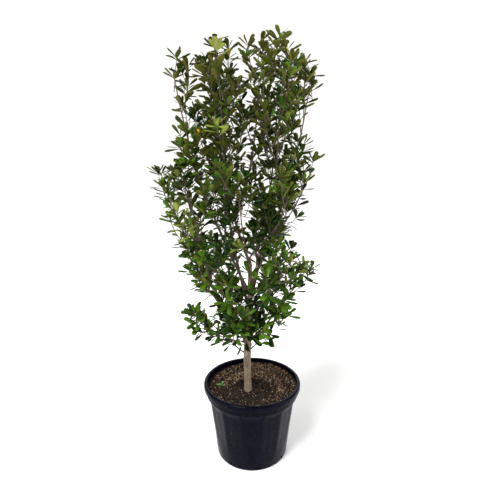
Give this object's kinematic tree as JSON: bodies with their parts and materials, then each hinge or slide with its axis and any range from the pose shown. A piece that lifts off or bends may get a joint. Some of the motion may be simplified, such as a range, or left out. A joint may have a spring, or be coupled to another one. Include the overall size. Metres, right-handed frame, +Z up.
{
  "type": "potted green lustre karo",
  "caption": "Bushy upright evergreen shrub with small glossy leaves on a short trunk, in a round black nursery pot filled with potting mix.",
  "frame": {"origin": "centre of the pot's flat underside, at floor level", "axes": "+Z up along the trunk, -Y towards the front of the plant, +X to the right seen from the front"},
  "size_m": [0.7768, 0.696, 1.7622],
  "materials": {
    "pot_plastic": "satin black polypropylene, slightly scuffed",
    "potting_mix": "matte, crumbly, damp",
    "trunk_bark": "matte grey-brown bark, finely speckled",
    "bough_bark": "matte dark brown bark",
    "leaves": "leathery green, glossy above and matte below"
  },
  "bodies": {
    "root": {"bough_foot_back": "bough_bark", "bough_foot_front": "bough_bark", "bough_foot_left": "bough_bark", "bough_foot_right": "bough_bark", "bough_shoulder_back_left": "bough_bark", "bough_shoulder_back_right": "bough_bark", "bough_shoulder_front": "bough_bark", "bough_shoulder_front_left": "bough_bark", "bough_shoulder_front_right": "bough_bark", "bough_shoulder_inner": "bough_bark", "bough_shoulder_left": "bough_bark", "bough_shoulder_right": "bough_bark", "bough_skirt_back_left": "bough_bark", "bough_skirt_back_right": "bough_bark", "bough_skirt_front_left": "bough_bark", "bough_skirt_front_right": "bough_bark", "bough_skirt_left": "bough_bark", "bough_skirt_right": "bough_bark", "bough_top_back_left": "bough_bark", "bough_top_back_right": "bough_bark", "bough_top_crest": "bough_bark", "bough_top_front_left": "bough_bark", "bough_top_front_right": "bough_bark", "bough_top_left": "bough_bark", "bough_top_middle": "bough_bark", "bough_top_right": "bough_bark", "foliage_foot_back": "leaves", "foliage_foot_front": "leaves", "foliage_foot_left": "leaves", "foliage_foot_right": "leaves", "foliage_shoulder_back_left": "leaves", "foliage_shoulder_back_right": "leaves", "foliage_shoulder_front": "leaves", "foliage_shoulder_front_left": "leaves", "foliage_shoulder_front_right": "leaves", "foliage_shoulder_inner": "leaves", "foliage_shoulder_left": "leaves", "foliage_shoulder_right": "leaves", "foliage_skirt_back_left": "leaves", "foliage_skirt_back_right": "leaves", "foliage_skirt_front_left": "leaves", "foliage_skirt_front_right": "leaves", "foliage_skirt_left": "leaves", "foliage_skirt_right": "leaves", "foliage_top_back_left": "leaves", "foliage_top_back_right": "leaves", "foliage_top_crest": "leaves", "foliage_top_front_left": "leaves", "foliage_top_front_right": "leaves", "foliage_top_left": "leaves", "foliage_top_middle": "leaves", "foliage_top_right": "leaves", "pot": "pot_plastic", "soil": "potting_mix", "trunk": "trunk_bark"}
  },
  "joints": []
}
